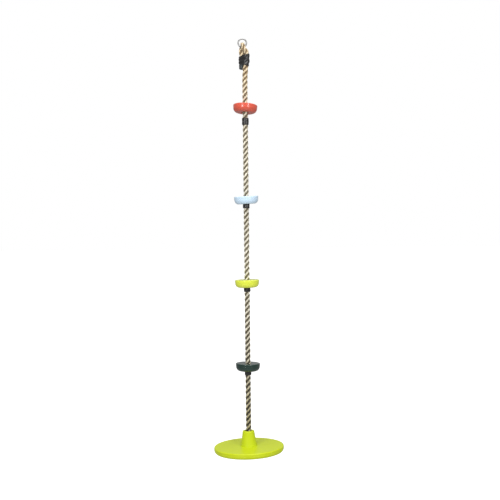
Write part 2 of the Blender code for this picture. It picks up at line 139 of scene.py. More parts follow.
# laid rope, as a geometry node tree
def laidRopeTree():
    tree, given, end = newTree("laidRope", "GeometryNodeTree", [
        ("Path", "NodeSocketGeometry", None),
        ("Strands", "NodeSocketInt", 3),
        ("Strand Radius", "NodeSocketFloat", 0.005),
        ("Strand Offset", "NodeSocketFloat", 0.0056),
        ("Pitch", "NodeSocketFloat", 0.065),
        ("Yarns", "NodeSocketInt", 9),
        ("Yarn Relief", "NodeSocketFloat", 0.08),
        ("Yarn Pitch", "NodeSocketFloat", 0.047),
        ("Lay Start", "NodeSocketFloat", 0.0),
        ("Step", "NodeSocketFloat", 0.002),
        ("Seed", "NodeSocketInt", 4),
        ("Material", "NodeSocketMaterial", None),
    ], [("Rope", "NodeSocketGeometry")])
    pointsPerYarn = 4
    path = addNode(tree, "GeometryNodeResampleCurve",
                   {"Curve": given["Path"], "Length": given["Step"]}, mode="LENGTH")
    copies = addNode(tree, "GeometryNodeDuplicateElements",
                     {"Geometry": path.outputs[0], "Amount": given["Strands"]}, domain="SPLINE")
    along = addNode(tree, "GeometryNodeSplineParameter").outputs["Length"]
    share = sums(tree, "DIVIDE", copies.outputs["Duplicate Index"], given["Strands"])
    turns = sums(tree, "ADD", sums(tree, "DIVIDE", along, given["Pitch"]), share)
    angle = sums(tree, "MULTIPLY_ADD", turns, math.tau, given["Lay Start"])
    size = addNode(tree, "GeometryNodeInputRadius").outputs[0]
    reach = sums(tree, "MULTIPLY", given["Strand Offset"], size)
    normal = addNode(tree, "GeometryNodeInputNormal").outputs[0]
    tangent = addNode(tree, "GeometryNodeInputTangent").outputs[0]
    side = addNode(tree, "ShaderNodeVectorMath", {0: tangent, 1: normal},
                   operation="CROSS_PRODUCT").outputs[0]

    def scaled(vector, amount):
        return addNode(tree, "ShaderNodeVectorMath", {0: vector, "Scale": amount},
                       operation="SCALE").outputs[0]

    first = scaled(normal, sums(tree, "MULTIPLY", reach, sums(tree, "COSINE", angle)))
    second = scaled(side, sums(tree, "MULTIPLY", reach, sums(tree, "SINE", angle)))
    offset = addNode(tree, "ShaderNodeVectorMath", {0: first, 1: second},
                     operation="ADD").outputs[0]
    lengths = addNode(tree, "GeometryNodeStoreNamedAttribute",
                      {"Geometry": copies.outputs[0], "Name": "along", "Value": along},
                      data_type="FLOAT", domain="POINT")
    sized = addNode(tree, "GeometryNodeStoreNamedAttribute",
                    {"Geometry": lengths.outputs[0], "Name": "girth", "Value": size},
                    data_type="FLOAT", domain="POINT")
    numbered = addNode(tree, "GeometryNodeStoreNamedAttribute",
                       {"Geometry": sized.outputs[0], "Name": "strand",
                        "Value": copies.outputs["Duplicate Index"]},
                       data_type="FLOAT", domain="POINT")
    moved = addNode(tree, "GeometryNodeSetPosition",
                    {"Geometry": numbered.outputs[0], "Offset": offset})
    tilt = sums(tree, "MULTIPLY", sums(tree, "DIVIDE", along, given["Yarn Pitch"]), -math.tau)
    twisted = addNode(tree, "GeometryNodeSetCurveTilt",
                      {"Curve": moved.outputs[0], "Tilt": tilt})

    # the strand's outline, one lobe to a yarn
    count = sums(tree, "MULTIPLY", given["Yarns"], pointsPerYarn)
    circle = addNode(tree, "GeometryNodeCurvePrimitiveCircle",
                     {"Resolution": count, "Radius": given["Strand Radius"]}, mode="RADIUS")
    index = addNode(tree, "GeometryNodeInputIndex").outputs[0]
    lobe = sums(tree, "SINE", sums(tree, "MULTIPLY", index, math.pi / pointsPerYarn))
    dip = sums(tree, "SUBTRACT", 1.0, sums(tree, "ABSOLUTE", lobe))
    shrink = sums(tree, "SUBTRACT", 1.0, sums(tree, "MULTIPLY", dip, given["Yarn Relief"]))
    place = addNode(tree, "GeometryNodeInputPosition").outputs[0]
    lobed = addNode(tree, "GeometryNodeSetPosition",
                    {"Geometry": circle.outputs[0], "Position": scaled(place, shrink)})
    yarn = sums(tree, "FLOOR", sums(tree, "DIVIDE", index, pointsPerYarn))
    tone = addNode(tree, "FunctionNodeRandomValue", {"ID": yarn, "Seed": given["Seed"]},
                   data_type="FLOAT")
    toned = addNode(tree, "GeometryNodeStoreNamedAttribute",
                    {"Geometry": lobed.outputs[0], "Name": "yarnTone",
                     "Value": tone.outputs[1]}, data_type="FLOAT", domain="POINT")
    grooved = addNode(tree, "GeometryNodeStoreNamedAttribute",
                      {"Geometry": toned.outputs[0], "Name": "yarnDip", "Value": dip},
                      data_type="FLOAT", domain="POINT")
    swept = addNode(tree, "GeometryNodeCurveToMesh",
                    {"Curve": twisted.outputs[0], "Profile Curve": grooved.outputs[0],
                     "Fill Caps": True})
    if "Scale" in swept.inputs:
        tree.links.new(size, swept.inputs["Scale"])

    # how far out each point lies from the rope's own middle
    middle = addNode(tree, "GeometryNodeCurveToMesh", {"Curve": path.outputs[0]})
    near = addNode(tree, "GeometryNodeProximity", {0: middle.outputs[0]},
                   target_element="EDGES")
    outer = sums(tree, "ADD", given["Strand Offset"], given["Strand Radius"])
    girth = addNode(tree, "GeometryNodeInputNamedAttribute", {"Name": "girth"},
                    data_type="FLOAT").outputs["Attribute"]
    crest = sums(tree, "DIVIDE", near.outputs["Distance"], sums(tree, "MULTIPLY", outer, girth))
    crested = addNode(tree, "GeometryNodeStoreNamedAttribute",
                      {"Geometry": swept.outputs[0], "Name": "crest", "Value": crest},
                      data_type="FLOAT", domain="POINT")
    smooth = addNode(tree, "GeometryNodeSetShadeSmooth", {"Geometry": crested.outputs[0]})
    real = addNode(tree, "GeometryNodeRealizeInstances", {"Geometry": smooth.outputs[0]})
    done = addNode(tree, "GeometryNodeSetMaterial",
                   {"Geometry": real.outputs[0], "Material": given["Material"]})
    tree.links.new(done.outputs[0], end.inputs[0])
    return tree


def runTree(name, source, tree, values):
    modifier = source.modifiers.new(tree.name, "NODES")
    modifier.node_group = tree
    identifiers = {item.name: item.identifier for item in tree.interface.items_tree
                   if item.item_type == "SOCKET" and item.in_out == "INPUT"}
    for label, value in values.items():
        modifier[identifiers[label]] = value
    bpy.context.view_layer.update()
    graph = bpy.context.evaluated_depsgraph_get()
    mesh = bpy.data.meshes.new_from_object(source.evaluated_get(graph), depsgraph=graph)
    mesh.name = name
    source.modifiers.remove(modifier)
    data = source.data
    bpy.data.objects.remove(source)
    if isinstance(data, bpy.types.Curve):
        bpy.data.curves.remove(data)
    piece = bpy.data.objects.new(name, mesh)
    bpy.context.scene.collection.objects.link(piece)
    return piece


def pathCurve(name, route):
    data = bpy.data.curves.new(name, "CURVE")
    data.dimensions = "3D"
    spline = data.splines.new("POLY")
    spline.points.add(len(route) - 1)
    for point, place in zip(spline.points, route):
        point.co = (place[0], place[1], place[2], 1.0)
        point.radius = place[3]
    made = bpy.data.objects.new(name, data)
    bpy.context.scene.collection.objects.link(made)
    return made


# where the rope runs, as the solids have it
def smoothRoute(points, spacing):
    route = []
    padded = [points[0]] + list(points) + [points[-1]]
    for i in range(1, len(padded) - 2):
        p0, p1, p2, p3 = (Vector(p) for p in padded[i - 1:i + 3])
        count = max(1, round((p2.to_3d() - p1.to_3d()).length / spacing))
        for j in range(count):
            t = j / count
            route.append(0.5 * (2 * p1 + (p2 - p0) * t
                                + (2 * p0 - 5 * p1 + 4 * p2 - p3) * t * t
                                + (3 * p1 - p0 - 3 * p2 + p3) * t * t * t))
    route.append(Vector(points[-1]))
    return route


def legsAt(z):
    start = splitZ - sleeve["straight"]
    t = min(1.0, max(0.0, (start - z) / (start - sleeveFoot)))
    share = t * t * (3 - 2 * t)
    middle = Vector((sleeve["pairX"][0] + (sleeve["pairX"][1] - sleeve["pairX"][0]) * share,
                     0.0))
    turn = math.radians(sleeve["pairTurn"][0]
                        + (sleeve["pairTurn"][1] - sleeve["pairTurn"][0]) * share)
    half = Vector((math.cos(turn), math.sin(turn))) * (rope["radius"] + sleeve["legGap"] / 2)
    return middle + half, middle - half


def eyeRoute():
    tight = rope["eyeRadius"] / rope["radius"]
    wrap = ring["wire"] + rope["eyeRadius"] + rope["eyePlay"]
    below = ringBarZ - wrap * 0.95
    shift, skew, squeeze = rope["eyeShift"], rope["eyeSkew"], sleeve["squeeze"]
    points = []
    mouth = sleeve["top"] + sleeve["straight"]
    for z, girth in ((splitZ, squeeze), (sleeve["top"], 0.97), (mouth, 1.0)):
        leg = legsAt(z)[0]
        points.append((leg.x, leg.y, z, girth))
    points.append((shift + wrap * 0.58, -wrap * 0.92, below, 0.94))
    for i in range(7):
        angle = math.pi * i / 6
        points.append((shift + wrap * skew * math.cos(angle), -wrap * math.cos(angle),
                       ringBarZ + wrap * math.sin(angle), tight))
    points.append((shift - wrap * 0.48, wrap * 0.92, below, 0.94))
    for z, girth in ((mouth, 1.0), (sleeve["top"], 0.97), (splitZ, squeeze),
                     (splitZ * 0.6 + sleeveFoot * 0.4, squeeze),
                     (splitZ * 0.25 + sleeveFoot * 0.75, squeeze),
                     (sleeveFoot + rope["gap"], squeeze)):
        leg = legsAt(z)[1]
        points.append((leg.x, leg.y, z, girth))
    return smoothRoute(points, 0.003)


def firstRoute(foot):
    start = splitZ - sleeve["straight"]
    run = start - sleeveFoot
    points = []
    for z in (splitZ - rope["gap"], start, start - 0.35 * run, start - 0.7 * run, sleeveFoot):
        leg = legsAt(z)[0]
        points.append((leg.x, leg.y, z, 0.96 if z == sleeveFoot else sleeve["squeeze"]))
    for drop, share in ((0.020, 0.6), (0.045, 0.1), (0.070, 0.0)):
        place = Vector((rope["axisX"], 0.0)).lerp(legsAt(sleeveFoot)[0], share)
        points.append((place.x, place.y, sleeveFoot - drop, 1.0))
    return smoothRoute(points, 0.006) + straightRoute(points[-1][2], foot)[1:]


def straightRoute(top, foot):
    count = max(2, math.ceil((top - foot) / 0.02))
    return [Vector((rope["axisX"], 0.0, top + (foot - top) * i / count, 1.0))
            for i in range(count + 1)]


def routeLength(route):
    return sum((b.to_3d() - a.to_3d()).length for a, b in zip(route, route[1:]))


# shader groups that several finishes share
def mouldedGrain():
    tree, given, end = newTree("mouldedGrain", "ShaderNodeTree", [
        ("Position", "NodeSocketVector", None), ("Grain Scale", "NodeSocketFloat", 900.0),
        ("Flow Scale", "NodeSocketFloat", 14.0),
    ], [("Height", "NodeSocketFloat"), ("Tone", "NodeSocketFloat")])
    grain = addNode(tree, "ShaderNodeTexNoise",
                    {"Vector": given["Position"], "Scale": given["Grain Scale"],
                     "Detail": 3.0, "Roughness": 0.55})
    pits = addNode(tree, "ShaderNodeTexVoronoi",
                   {"Vector": given["Position"], "Scale": given["Grain Scale"]})
    flow = addNode(tree, "ShaderNodeTexNoise",
                   {"Vector": given["Position"], "Scale": given["Flow Scale"],
                    "Detail": 4.0, "Roughness": 0.6, "Distortion": 0.6})
    height = sums(tree, "MULTIPLY_ADD", pits.outputs["Distance"], 0.4,
                  sums(tree, "MULTIPLY", grain.outputs[0], 0.6))
    tree.links.new(height, end.inputs[0])
    tree.links.new(flow.outputs[0], end.inputs[1])
    return tree


def edgeWear():
    tree, given, end = newTree("edgeWear", "ShaderNodeTree", [
        ("Position", "NodeSocketVector", None), ("Edge", "NodeSocketFloat", 0.0),
        ("Scale", "NodeSocketFloat", 160.0), ("Amount", "NodeSocketFloat", 0.5),
    ], [("Mask", "NodeSocketFloat")])
    chips = addNode(tree, "ShaderNodeTexNoise",
                    {"Vector": given["Position"], "Scale": given["Scale"],
                     "Detail": 6.0, "Roughness": 0.7})
    worn = sums(tree, "MULTIPLY", given["Edge"], given["Amount"])
    level = sums(tree, "SUBTRACT", sums(tree, "ADD", chips.outputs[0], worn), 0.78)
    mask = addNode(tree, "ShaderNodeMath", {0: level, 1: 6.0}, operation="MULTIPLY",
                   use_clamp=True).outputs[0]
    tree.links.new(sums(tree, "MULTIPLY", mask, given["Edge"]), end.inputs[0])
    return tree


def scuffs():
    tree, given, end = newTree("scuffs", "ShaderNodeTree", [
        ("Position", "NodeSocketVector", None), ("Scale", "NodeSocketFloat", 40.0),
        ("Amount", "NodeSocketFloat", 0.4),
    ], [("Mask", "NodeSocketFloat")])
    bent = addNode(tree, "ShaderNodeTexNoise",
                   {"Vector": given["Position"], "Scale": 9.0, "Detail": 2.0})
    pushed = addNode(tree, "ShaderNodeVectorMath",
                     {0: bent.outputs["Color"], 1: given["Position"],
                      "Scale": 0.05}, operation="SCALE").outputs[0]
    moved = addNode(tree, "ShaderNodeVectorMath", {0: given["Position"], 1: pushed},
                    operation="ADD").outputs[0]
    lines = addNode(tree, "ShaderNodeTexWave",
                    {"Vector": moved, "Scale": given["Scale"], "Distortion": 14.0,
                     "Detail": 3.0, "Detail Scale": 2.2})
    thin = addNode(tree, "ShaderNodeMapRange",
                   {"Value": lines.outputs["Fac"], "From Min": 0.965, "From Max": 1.0,
                    "To Min": 0.0, "To Max": 1.0}).outputs[0]
    patch = addNode(tree, "ShaderNodeTexNoise",
                    {"Vector": given["Position"], "Scale": 22.0, "Detail": 1.0})
    here = addNode(tree, "ShaderNodeMapRange",
                   {"Value": patch.outputs[0], "From Min": 0.5, "From Max": 0.7}).outputs[0]
    both = sums(tree, "MULTIPLY", sums(tree, "MULTIPLY", thin, here), given["Amount"])
    tree.links.new(both, end.inputs[0])
    return tree


grainGroup, wearGroup, scuffGroup = mouldedGrain(), edgeWear(), scuffs()


def placeGroup(tree, group, inputs):
    made = addNode(tree, "ShaderNodeGroup", node_tree=group)
    for key, value in inputs.items():
        if isinstance(value, bpy.types.NodeSocket):
            tree.links.new(value, made.inputs[key])
        else:
            made.inputs[key].default_value = value
    return made.outputs


def newMaterial(name, fixed):
    material = bpy.data.materials.new(name)
    material.use_nodes = True
    tree = material.node_tree
    shader = tree.nodes["Principled BSDF"]
    for key, value in fixed.items():
        shader.inputs[key].default_value = value
    material.diffuse_color = fixed.get("Base Color", (0.5, 0.5, 0.5, 1.0))
    position = addNode(tree, "ShaderNodeTexCoord").outputs["Object"]
    return material, tree, shader, position


def attribute(tree, name):
    return addNode(tree, "ShaderNodeAttribute", attribute_name=name).outputs["Fac"]


def mixed(tree, share, first, second, blend="MIX"):
    made = addNode(tree, "ShaderNodeMix", {"Factor": share}, data_type="RGBA",
                   blend_type=blend)
    for socket, value in ((made.inputs[6], first), (made.inputs[7], second)):
        if isinstance(value, bpy.types.NodeSocket):
            tree.links.new(value, socket)
        else:
            socket.default_value = (*value, 1.0)
    return made.outputs[2]


def ramp(tree, factor, stops):
    made = addNode(tree, "ShaderNodeValToRGB", {"Fac": factor})
    elements = made.color_ramp.elements
    while len(elements) > 1:
        elements.remove(elements[-1])
    elements[0].position, elements[0].color = stops[0][0], (*stops[0][1], 1.0)
    for place, colour in stops[1:]:
        elements.new(place).color = (*colour, 1.0)
    return made.outputs["Color"]


def bumped(tree, shader, height, strength, distance):
    bump = addNode(tree, "ShaderNodeBump", {"Height": height, "Strength": strength,
                                            "Distance": distance})
    tree.links.new(bump.outputs[0], shader.inputs["Normal"])


def mouldedPlastic(name, look):
    material, tree, shader, position = newMaterial(name, {
        "Base Color": (*look["colour"], 1.0), "IOR": 1.5,
        "Subsurface Weight": look["glow"], "Subsurface Scale": 0.004,
        "Specular IOR Level": look["shine"],
        "Coat Weight": look["coat"], "Coat Roughness": 0.12,
    })
    grain = placeGroup(tree, grainGroup, {"Position": position,
                                          "Grain Scale": look["grain"], "Flow Scale": 16.0})
    worn = placeGroup(tree, wearGroup, {"Position": position,
                                        "Edge": attribute(tree, "edge"),
                                        "Scale": 210.0, "Amount": look["wear"]})[0]
    marks = placeGroup(tree, scuffGroup, {"Position": position, "Scale": 30.0,
                                          "Amount": look["scuff"]})[0]
    body = mixed(tree, grain["Tone"], look["shade"], look["colour"])
    # painted shade: inner faces (bores, recesses, inside the seat's cone) are mixed towards a dark
    # painted shade colour by how far inside they lie
    body = mixed(tree, attribute(tree, "hollowShadeAmount"), body, look["paintedHollowShade"])
    body = mixed(tree, worn, body, look["worn"])
    body = mixed(tree, marks, body, look["worn"])
    tree.links.new(body, shader.inputs["Base Color"])
    rough = sums(tree, "MULTIPLY_ADD", grain["Tone"], 0.16, look["rough"] - 0.08)
    rough = sums(tree, "MULTIPLY_ADD", sums(tree, "ADD", worn, marks), 0.25, rough)
    tree.links.new(rough, shader.inputs["Roughness"])
    bumped(tree, shader, grain["Height"], look["bump"], 0.0006)
    return material


def ropeMaterial():
    # painted shade and highlight: the first ramp below is painted shade for the grooves between
    # strands; the second is partly the rope's own cream and partly a painted highlight on the
    # strand crests; both run darker towards the bottom and more golden near the top
    look = {
        "paintedGrooveShade": [(0.0, (0.018, 0.013, 0.005)), (0.12, (0.036, 0.027, 0.011)),
                   (0.30, (0.095, 0.076, 0.040)), (0.45, (0.19, 0.16, 0.10)),
                   (0.84, (0.19, 0.155, 0.095)), (0.92, (0.25, 0.165, 0.080))],
        "crest": [(0.0, (0.50, 0.43, 0.24)), (0.12, (0.66, 0.58, 0.36)),
                  (0.30, (0.95, 0.88, 0.70)), (0.45, (1.0, 0.95, 0.80)),
                  (0.84, (0.98, 0.91, 0.72)), (0.92, (0.92, 0.76, 0.50))],
    }
    material, tree, shader, position = newMaterial("laidRope", {
        "Base Color": (0.5, 0.42, 0.26, 1.0), "Roughness": 0.8, "IOR": 1.49,
        "Sheen Weight": 0.25, "Sheen Roughness": 0.5,
    })
    height = addNode(tree, "ShaderNodeSeparateXYZ", {0: position}).outputs["Z"]
    level = addNode(tree, "ShaderNodeMapRange", {"Value": height, "From Min": -1.8,
                                                 "From Max": 0.0}).outputs[0]
    paintedGrooveShade = ramp(tree, level, look["paintedGrooveShade"])
    crest = ramp(tree, level, look["crest"])
    along, yarn = attribute(tree, "along"), attribute(tree, "yarnTone")
    dip = attribute(tree, "yarnDip")
    fibre = addNode(tree, "ShaderNodeCombineXYZ",
                    {"X": sums(tree, "MULTIPLY", along, 90.0),
                     "Y": sums(tree, "MULTIPLY", yarn, 40.0)}).outputs[0]
    streak = addNode(tree, "ShaderNodeTexNoise", {"Vector": fibre, "Scale": 2.0,
                                                  "Detail": 5.0, "Roughness": 0.7})
    hairs = addNode(tree, "ShaderNodeTexNoise", {"Vector": position, "Scale": 1400.0,
                                                 "Detail": 2.0})
    wander = sums(tree, "MULTIPLY_ADD", sums(tree, "SUBTRACT", streak.outputs[0], 0.5), 0.24,
                  sums(tree, "MULTIPLY", sums(tree, "SUBTRACT", yarn, 0.5), 0.10))
    # painted shade: points low in the grooves and in the dips between yarns take the dark ramp's
    # colours, points on the crests take the light ramp's, with random yarn streaks mixed in
    crestOrGrooveShade = sums(tree, "ADD", attribute(tree, "crest"), wander)
    crestOrGrooveShade = sums(tree, "SUBTRACT", crestOrGrooveShade, sums(tree, "MULTIPLY", dip, 0.10))
    share = addNode(tree, "ShaderNodeMapRange", {"Value": crestOrGrooveShade, "From Min": 0.82,
                                                 "From Max": 0.97},
                    interpolation_type="SMOOTHSTEP").outputs[0]
    colour = mixed(tree, share, paintedGrooveShade, crest)
    flecks = addNode(tree, "ShaderNodeMapRange", {"Value": hairs.outputs[0], "From Min": 0.35,
                                                  "From Max": 0.7, "To Min": 0.78,
                                                  "To Max": 1.12}).outputs[0]
    colour = mixed(tree, 1.0, colour, flecks, "MULTIPLY")
    tree.links.new(colour, shader.inputs["Base Color"])
    relief = sums(tree, "MULTIPLY_ADD", hairs.outputs[0], 0.5, streak.outputs[0])
    bumped(tree, shader, relief, 0.5, 0.0006)
    return material


def shrunkBlack(name, look):
    material, tree, shader, position = newMaterial(name, {
        "Base Color": (*look["colour"], 1.0), "IOR": 1.5, "Coat Weight": 0.15,
        "Coat Roughness": 0.3,
    })
    grain = placeGroup(tree, grainGroup, {"Position": position, "Grain Scale": 700.0,
                                          "Flow Scale": 40.0})
    worn = placeGroup(tree, wearGroup, {"Position": position,
                                        "Edge": attribute(tree, "edge"), "Scale": 260.0,
                                        "Amount": 0.45})[0]
    colour = mixed(tree, grain["Tone"], look["dark"], look["colour"])
    colour = mixed(tree, worn, colour, look["worn"])
    tree.links.new(colour, shader.inputs["Base Color"])
    rough = sums(tree, "MULTIPLY_ADD", grain["Tone"], 0.22, look["rough"])
    tree.links.new(rough, shader.inputs["Roughness"])
    bumped(tree, shader, grain["Height"], 0.25, 0.0005)
    return material


def zincedSteel(name, look):
    material, tree, shader, position = newMaterial(name, {
        "Base Color": (*look["colour"], 1.0), "Metallic": 1.0,
    })
    spangle = addNode(tree, "ShaderNodeTexVoronoi", {"Vector": position, "Scale": 420.0})
    grain = placeGroup(tree, grainGroup, {"Position": position, "Grain Scale": 1500.0,
                                          "Flow Scale": 60.0})
    tint = addNode(tree, "ShaderNodeSeparateColor",
                   {0: spangle.outputs["Color"]}).outputs["Red"]
    colour = mixed(tree, tint, look["dark"], look["colour"])
    colour = mixed(tree, sums(tree, "MULTIPLY", grain["Tone"], 0.5), colour, look["dull"])
    tree.links.new(colour, shader.inputs["Base Color"])
    rough = sums(tree, "MULTIPLY_ADD", tint, 0.14, look["rough"])
    tree.links.new(rough, shader.inputs["Roughness"])
    bumped(tree, shader, grain["Height"], 0.2, 0.0003)
    return material


ropeLook = ropeMaterial()
blackLook = shrunkBlack("blackShrink", {"colour": (0.013, 0.012, 0.011), "rough": 0.24,
                                        "dark": (0.006, 0.005, 0.005),
                                        "worn": (0.06, 0.06, 0.058)})
slateLook = shrunkBlack("slateTape", {"colour": (0.040, 0.052, 0.056), "rough": 0.42,
                                      "dark": (0.026, 0.034, 0.036),
                                      "worn": (0.16, 0.17, 0.17)})
steelLook = zincedSteel("zincedSteel", {"colour": (0.40, 0.40, 0.395), "rough": 0.30,
                                        "dark": (0.28, 0.28, 0.28),
                                        "dull": (0.33, 0.33, 0.325)})
# the darkest colour here is painted shade for inner faces
nylonLook = mouldedPlastic("nylonWasher", {
    "colour": (0.78, 0.77, 0.71), "shade": (0.70, 0.69, 0.62), "paintedHollowShade": (0.5, 0.49, 0.44),
    "worn": (0.85, 0.85, 0.82), "glow": 0.0, "coat": 0.0, "grain": 900.0, "wear": 0.0,
    "scuff": 0.2, "rough": 0.45, "bump": 0.1, "shine": 0.5})
print("climbing rope: finishes ready")


# the rope itself
layTree = laidRopeTree()


def laidRope(name, route, layStart=0.0):
    # three strands that just touch fill the rope's outside radius
    spread = 2 / math.sqrt(3)
    strand = rope["radius"] / (1 + spread)
    return runTree(name, pathCurve(name + "Path", route), layTree, {
        "Strands": rope["strands"], "Strand Radius": strand * 1.03,
        "Strand Offset": rope["radius"] - strand * 1.03, "Pitch": rope["pitch"],
        "Yarns": rope["yarns"], "Yarn Relief": rope["yarnRelief"],
        "Yarn Pitch": rope["yarnPitch"], "Lay Start": layStart, "Step": rope["step"],
        "Seed": 4, "Material": ropeLook,
    })


def declareRope(nodes):
    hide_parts(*nodes)


eye = eyeRoute()
eyePiece = laidRope("ropeEye", eye, 0.6)
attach(eyePiece, "rope_top")
declareRope(["rope_eye"])
print("climbing rope: eye laid,", round(routeLength(eye), 3), "m")

spanTops = [None] + [bottom + stops["length"] / 2 for bottom in stops["bottoms"]]
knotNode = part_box("end_knot")
spanFeet = [bottom + stops["length"] / 2 + rope["gap"] for bottom in stops["bottoms"]]
spanFeet.append(knotNode[1][2] + rope["gap"])
for number in range(1, 6):
    if number == 1:
        route = firstRoute(spanFeet[0])
    else:
        route = straightRoute(spanTops[number - 1], spanFeet[number - 1])
    # the lay runs on from span to span
    layStart = -math.tau * route[0][2] / rope["pitch"]
    piece = laidRope(f"ropeSpan{number}", route, layStart)
    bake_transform(piece)
    declareRope([f"rope_span_{number}"])
print("climbing rope: spans laid")


# turned and wrapped shapes
def closedShape(name, rings, material, marks=None, sharp=38):
    count = len(rings[0])
    verts = [tuple(point) for points in rings for point in points]
    faces = []
    for i in range(len(rings)):
        k = (i + 1) % len(rings)
        for j in range(count):
            m = (j + 1) % count
            faces.append((i * count + j, k * count + j, k * count + m, i * count + m))
    mesh = bpy.data.meshes.new(name)
    mesh.from_pydata(verts, [], faces)
    work = bmesh.new()
    work.from_mesh(mesh)
    bmesh.ops.recalc_face_normals(work, faces=work.faces)
    work.to_mesh(mesh)
    work.free()
    for label, levels in (marks or {}).items():
        layer = mesh.attributes.new(label, "FLOAT", "POINT")
        layer.data.foreach_set("value", [level for level in levels for _ in range(count)])
    mesh.shade_smooth()
    mesh.set_sharp_from_angle(angle=math.radians(sharp))
    mesh.materials.append(material)
    piece = bpy.data.objects.new(name, mesh)
    bpy.context.scene.collection.objects.link(piece)
    return piece


def arc(centreR, centreZ, radiusR, radiusZ, start, end, count, edge=0.0):
    points = []
    for i in range(count + 1):
        angle = math.radians(start + (end - start) * i / count)
        points.append((centreR + radiusR * math.cos(angle),
                       centreZ + radiusZ * math.sin(angle), edge, 0.0))
    return points


def spread(first, last, count):
    return [tuple(a + (b - a) * i / count for a, b in zip(first, last))
            for i in range(1, count)]


def turnedShape(name, outline, steps, place, material):
    # each outline point is (radius, height, how exposed its edge is, how much painted shade it
    # gets for lying far inside)
    rings = []
    for radius, height, *marks in outline:
        rings.append([place @ Vector((radius * math.cos(math.tau * j / steps),
                                      radius * math.sin(math.tau * j / steps), height))
                      for j in range(steps)])
    return closedShape(name, rings, material, {"edge": [point[2] for point in outline],
                                               "hollowShadeAmount": [point[3] for point in outline]})


def leanPlace(height, lean):
    turn = Euler((math.radians(lean[0]), math.radians(lean[1]), 0.0)).to_matrix().to_4x4()
    return Matrix.Translation((rope["axisX"], 0.0, height)) @ turn


# the ring, welded from one wire
def ringPiece():
    rings = []
    around, across = ring["around"], ring["across"]
    for i in range(around):
        angle = math.tau * i / around
        away = (angle - math.radians(ring["weldAt"])) * ring["mean"]
        weld = math.exp(-(away / ring["weldWidth"]) ** 2)
        seam = math.exp(-(away / ring["seamWidth"]) ** 2)
        wire = ring["wire"] * (1 + ring["weldRise"] * weld - ring["seamDip"] * seam)
        out = Vector((math.cos(angle), 0.0, math.sin(angle)))
        centre = Vector((0.0, 0.0, ringCentreZ)) + out * ring["mean"]
        rings.append([centre + out * wire * math.cos(math.tau * j / across)
                      + Vector((0.0, wire * math.sin(math.tau * j / across), 0.0))
                      for j in range(across)])
    piece = closedShape("steelRing", rings, steelLook, sharp=60)
    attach(piece, "ring")
    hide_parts("hanging_ring")


ringPiece()


# black sleeves, shrunk tight over the strands
def lobe(angle, z, power=0.75):
    strandAt = math.tau * z / rope["pitch"]
    return abs(math.cos(1.5 * (angle - strandAt))) ** power


def endRound(share, reach):
    # 1 along the sleeve, down to 0 at either end over the rounding's reach
    near = min(share, 1 - share) / reach
    return 1.0 if near >= 1 else math.sqrt(max(0.0, 1 - (1 - near) ** 2))


def stopPiece(number):
    foot, length = stops["bottoms"][number - 1], stops["length"]
    around, levels = stops["around"], stops["levels"]
    inner, lip = rope["radius"] - rope["grip"], stops["lip"]
    rings, edge = [], []
    for i in range(levels + 1):
        share = i / levels
        full = endRound(share, stops["rounding"])
        points = []
        for j in range(around):
            angle = math.tau * j / around
            waist = stops["waist"] * math.sin(math.pi * share) ** 2
            radius = stops["radius"] - waist - stops["relief"] * (1 - lobe(angle, foot
                                                                           + share * length))
            radius = inner + lip + (radius - inner - lip) * full
            points.append((rope["axisX"] + radius * math.cos(angle),
                           radius * math.sin(angle), foot + share * length))
        rings.append(points)
        edge.append(0.8 if i < 3 or i > levels - 3 else 0.15)
    for share in (1.0, 0.5, 0.0):
        rings.append([(rope["axisX"] + inner * math.cos(math.tau * j / around),
                       inner * math.sin(math.tau * j / around),
                       foot + length * (0.002 + 0.996 * share)) for j in range(around)])
        edge.append(0.0)
    piece = closedShape(f"stopSleeve{number}", rings, blackLook, {"edge": edge}, sharp=70)
    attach(piece, f"span_{number}")
    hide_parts(f"stop_sleeve_{number}")


for number in range(1, 5):
    stopPiece(number)


def pairOutline(z, reach, relief, aroundEach=40, side=10):
    # round both legs at height z, with the sleeve drawn in between them
    main, tail = legsAt(z)
    along = (main - tail).normalized()
    bearing = math.atan2(along.y, along.x)
    points = []
    for centre, offset in ((main, -math.pi / 2), (tail, math.pi / 2)):
        for i in range(aroundEach + 1):
            angle = bearing + offset + math.pi * i / aroundEach
            radius = reach - relief * (1 - lobe(angle, z))
            points.append(Vector((centre.x + radius * math.cos(angle),
                                  centre.y + radius * math.sin(angle))))
        other = tail if centre == main else main
        first = points[-1]
        angle = bearing + offset + math.pi
        radius = reach - relief * (1 - lobe(angle, z))
        last = Vector((other.x + radius * math.cos(angle), other.y + radius * math.sin(angle)))
        inward = -Vector((math.cos(angle), math.sin(angle)))
        for i in range(1, side):
            share = i / side
            sag = sleeve["sag"] * math.sin(math.pi * share) ** 2 if relief else 0.0
            points.append(first.lerp(last, share) + inward * sag)
    return points


def topSleevePiece():
    levels, lip = sleeve["levels"], sleeve["lip"]
    reach = rope["radius"] + sleeve["play"] + sleeve["wall"]
    inner = rope["radius"] - rope["grip"]
    rings, edge = [], []

    def level(share, distance, relief):
        z = sleeve["top"] - sleeve["length"] * share
        points = pairOutline(z, distance, relief)
        left = min(point.x for point in points)
        width = max(point.x for point in points) - left
        placed = []
        for point in points:
            lean = 1 - (point.x - left) / width
            raised = -sleeve["slantTop"] * lean * (1 - share) + sleeve["slantFoot"] * lean * share
            placed.append((point.x, point.y, z + raised))
        return placed

    for i in range(levels + 1):
        share = i / levels
        full = endRound(share, sleeve["rounding"])
        rings.append(level(share, inner + lip + (reach - inner - lip) * full,
                           sleeve["relief"] * full))
        edge.append(0.7 if i < 3 or i > levels - 3 else 0.15)
    for share in (1.0, 0.66, 0.33, 0.0):
        rings.append(level(share, inner, 0.0))
        edge.append(0.0)
    piece = closedShape("topSleeve", rings, blackLook, {"edge": edge}, sharp=70)
    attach(piece, "rope_top")
    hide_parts("top_sleeve")


topSleevePiece()


tape = {"around": 56, "layers": 9, "lap": 0.0003, "ridge": 0.00045, "tuckedShare": 0.84}


